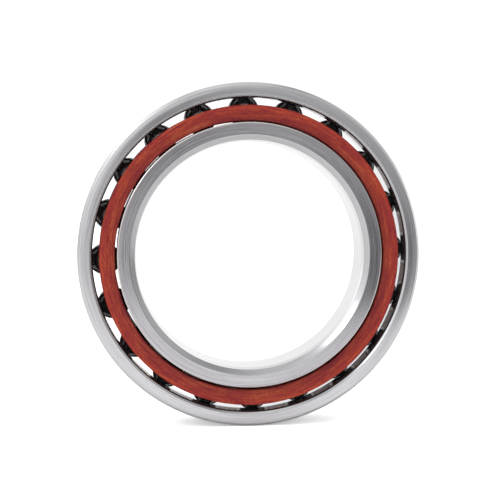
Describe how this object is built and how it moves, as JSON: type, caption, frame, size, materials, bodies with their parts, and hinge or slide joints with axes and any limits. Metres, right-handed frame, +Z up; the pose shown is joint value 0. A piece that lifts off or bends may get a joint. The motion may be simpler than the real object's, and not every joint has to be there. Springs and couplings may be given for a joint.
{
  "type": "ball bearing",
  "caption": "Open single-row angular contact ball bearing: ground steel inner and outer rings, a one-piece machined phenolic cage and dark ceramic balls.",
  "frame": {"origin": "centre of the bearing, on its axis, midway between the two faces", "axes": "+Y along the bearing axis, from the front face (full outer shoulder) to the back face (outer shoulder cut away almost to the raceway); +Z up with the bearing standing on its rim, +X to the right seen from the front"},
  "size_m": [0.068, 0.012, 0.068],
  "materials": {
    "outer_ring_steel": "ground bearing steel, satin, faint circular grinding marks on the faces, finely honed raceway",
    "inner_ring_steel": "ground bearing steel, satin, faint circular grinding marks on the faces, finely honed raceway",
    "cage_phenolic": "machined fabric-laminate phenolic, red-brown with lighter and darker streaks round the ring",
    "ball_ceramic": "polished near-black, mirror-like"
  },
  "bodies": {
    "outer_ring": {"outer_ring": "outer_ring_steel"},
    "inner_ring": {"inner_ring": "inner_ring_steel"},
    "cage": {"cage": "cage_phenolic"},
    "ball_01": {"ball_01": "ball_ceramic"},
    "ball_02": {"ball_02": "ball_ceramic"},
    "ball_03": {"ball_03": "ball_ceramic"},
    "ball_04": {"ball_04": "ball_ceramic"},
    "ball_05": {"ball_05": "ball_ceramic"},
    "ball_06": {"ball_06": "ball_ceramic"},
    "ball_07": {"ball_07": "ball_ceramic"},
    "ball_08": {"ball_08": "ball_ceramic"},
    "ball_09": {"ball_09": "ball_ceramic"},
    "ball_10": {"ball_10": "ball_ceramic"},
    "ball_11": {"ball_11": "ball_ceramic"},
    "ball_12": {"ball_12": "ball_ceramic"},
    "ball_13": {"ball_13": "ball_ceramic"},
    "ball_14": {"ball_14": "ball_ceramic"},
    "ball_15": {"ball_15": "ball_ceramic"},
    "ball_16": {"ball_16": "ball_ceramic"},
    "ball_17": {"ball_17": "ball_ceramic"},
    "ball_18": {"ball_18": "ball_ceramic"},
    "ball_19": {"ball_19": "ball_ceramic"},
    "ball_20": {"ball_20": "ball_ceramic"}
  },
  "joints": [
    {"name": "inner_spin", "type": "hinge", "parent": "outer_ring", "child": "inner_ring", "pos_m": [0, 0, 0], "axis": [0, 1, 0], "continuous": true},
    {"name": "cage_spin", "type": "hinge", "parent": "outer_ring", "child": "cage", "pos_m": [0, 0, 0], "axis": [0, 1, 0], "continuous": true},
    {"name": "ball_01_spin", "type": "hinge", "parent": "cage", "child": "ball_01", "pos_m": [0.02859, 0, 0.00085], "axis": [0.2587, 0.9659, 0.0077], "continuous": true},
    {"name": "ball_02_spin", "type": "hinge", "parent": "cage", "child": "ball_02", "pos_m": [0.02693, 0, 0.00964], "axis": [0.2437, 0.9659, 0.0872], "continuous": true},
    {"name": "ball_03_spin", "type": "hinge", "parent": "cage", "child": "ball_03", "pos_m": [0.02263, 0, 0.01749], "axis": [0.2048, 0.9659, 0.1583], "continuous": true},
    {"name": "ball_04_spin", "type": "hinge", "parent": "cage", "child": "ball_04", "pos_m": [0.01612, 0, 0.02363], "axis": [0.1459, 0.9659, 0.2138], "continuous": true},
    {"name": "ball_05_spin", "type": "hinge", "parent": "cage", "child": "ball_05", "pos_m": [0.00803, 0, 0.02745], "axis": [0.0726, 0.9659, 0.2484], "continuous": true},
    {"name": "ball_06_spin", "type": "hinge", "parent": "cage", "child": "ball_06", "pos_m": [-0.00085, 0, 0.02859], "axis": [-0.0077, 0.9659, 0.2587], "continuous": true},
    {"name": "ball_07_spin", "type": "hinge", "parent": "cage", "child": "ball_07", "pos_m": [-0.00964, 0, 0.02693], "axis": [-0.0872, 0.9659, 0.2437], "continuous": true},
    {"name": "ball_08_spin", "type": "hinge", "parent": "cage", "child": "ball_08", "pos_m": [-0.01749, 0, 0.02263], "axis": [-0.1583, 0.9659, 0.2048], "continuous": true},
    {"name": "ball_09_spin", "type": "hinge", "parent": "cage", "child": "ball_09", "pos_m": [-0.02363, 0, 0.01612], "axis": [-0.2138, 0.9659, 0.1459], "continuous": true},
    {"name": "ball_10_spin", "type": "hinge", "parent": "cage", "child": "ball_10", "pos_m": [-0.02745, 0, 0.00803], "axis": [-0.2484, 0.9659, 0.0726], "continuous": true},
    {"name": "ball_11_spin", "type": "hinge", "parent": "cage", "child": "ball_11", "pos_m": [-0.02859, 0, -0.00085], "axis": [-0.2587, 0.9659, -0.0077], "continuous": true},
    {"name": "ball_12_spin", "type": "hinge", "parent": "cage", "child": "ball_12", "pos_m": [-0.02693, 0, -0.00964], "axis": [-0.2437, 0.9659, -0.0872], "continuous": true},
    {"name": "ball_13_spin", "type": "hinge", "parent": "cage", "child": "ball_13", "pos_m": [-0.02263, 0, -0.01749], "axis": [-0.2048, 0.9659, -0.1583], "continuous": true},
    {"name": "ball_14_spin", "type": "hinge", "parent": "cage", "child": "ball_14", "pos_m": [-0.01612, 0, -0.02363], "axis": [-0.1459, 0.9659, -0.2138], "continuous": true},
    {"name": "ball_15_spin", "type": "hinge", "parent": "cage", "child": "ball_15", "pos_m": [-0.00803, 0, -0.02745], "axis": [-0.0726, 0.9659, -0.2484], "continuous": true},
    {"name": "ball_16_spin", "type": "hinge", "parent": "cage", "child": "ball_16", "pos_m": [0.00085, 0, -0.02859], "axis": [0.0077, 0.9659, -0.2587], "continuous": true},
    {"name": "ball_17_spin", "type": "hinge", "parent": "cage", "child": "ball_17", "pos_m": [0.00964, 0, -0.02693], "axis": [0.0872, 0.9659, -0.2437], "continuous": true},
    {"name": "ball_18_spin", "type": "hinge", "parent": "cage", "child": "ball_18", "pos_m": [0.01749, 0, -0.02263], "axis": [0.1583, 0.9659, -0.2048], "continuous": true},
    {"name": "ball_19_spin", "type": "hinge", "parent": "cage", "child": "ball_19", "pos_m": [0.02363, 0, -0.01612], "axis": [0.2138, 0.9659, -0.1459], "continuous": true},
    {"name": "ball_20_spin", "type": "hinge", "parent": "cage", "child": "ball_20", "pos_m": [0.02745, 0, -0.00803], "axis": [0.2484, 0.9659, -0.0726], "continuous": true}
  ],
  "couplings": [
    {"joint": "cage_spin", "follows": "inner_spin", "ratio": 0.44638},
    {"joint": "ball_01_spin", "follows": "inner_spin", "ratio": -4.4521},
    {"joint": "ball_02_spin", "follows": "inner_spin", "ratio": -4.4521},
    {"joint": "ball_03_spin", "follows": "inner_spin", "ratio": -4.4521},
    {"joint": "ball_04_spin", "follows": "inner_spin", "ratio": -4.4521},
    {"joint": "ball_05_spin", "follows": "inner_spin", "ratio": -4.4521},
    {"joint": "ball_06_spin", "follows": "inner_spin", "ratio": -4.4521},
    {"joint": "ball_07_spin", "follows": "inner_spin", "ratio": -4.4521},
    {"joint": "ball_08_spin", "follows": "inner_spin", "ratio": -4.4521},
    {"joint": "ball_09_spin", "follows": "inner_spin", "ratio": -4.4521},
    {"joint": "ball_10_spin", "follows": "inner_spin", "ratio": -4.4521},
    {"joint": "ball_11_spin", "follows": "inner_spin", "ratio": -4.4521},
    {"joint": "ball_12_spin", "follows": "inner_spin", "ratio": -4.4521},
    {"joint": "ball_13_spin", "follows": "inner_spin", "ratio": -4.4521},
    {"joint": "ball_14_spin", "follows": "inner_spin", "ratio": -4.4521},
    {"joint": "ball_15_spin", "follows": "inner_spin", "ratio": -4.4521},
    {"joint": "ball_16_spin", "follows": "inner_spin", "ratio": -4.4521},
    {"joint": "ball_17_spin", "follows": "inner_spin", "ratio": -4.4521},
    {"joint": "ball_18_spin", "follows": "inner_spin", "ratio": -4.4521},
    {"joint": "ball_19_spin", "follows": "inner_spin", "ratio": -4.4521},
    {"joint": "ball_20_spin", "follows": "inner_spin", "ratio": -4.4521}
  ]
}
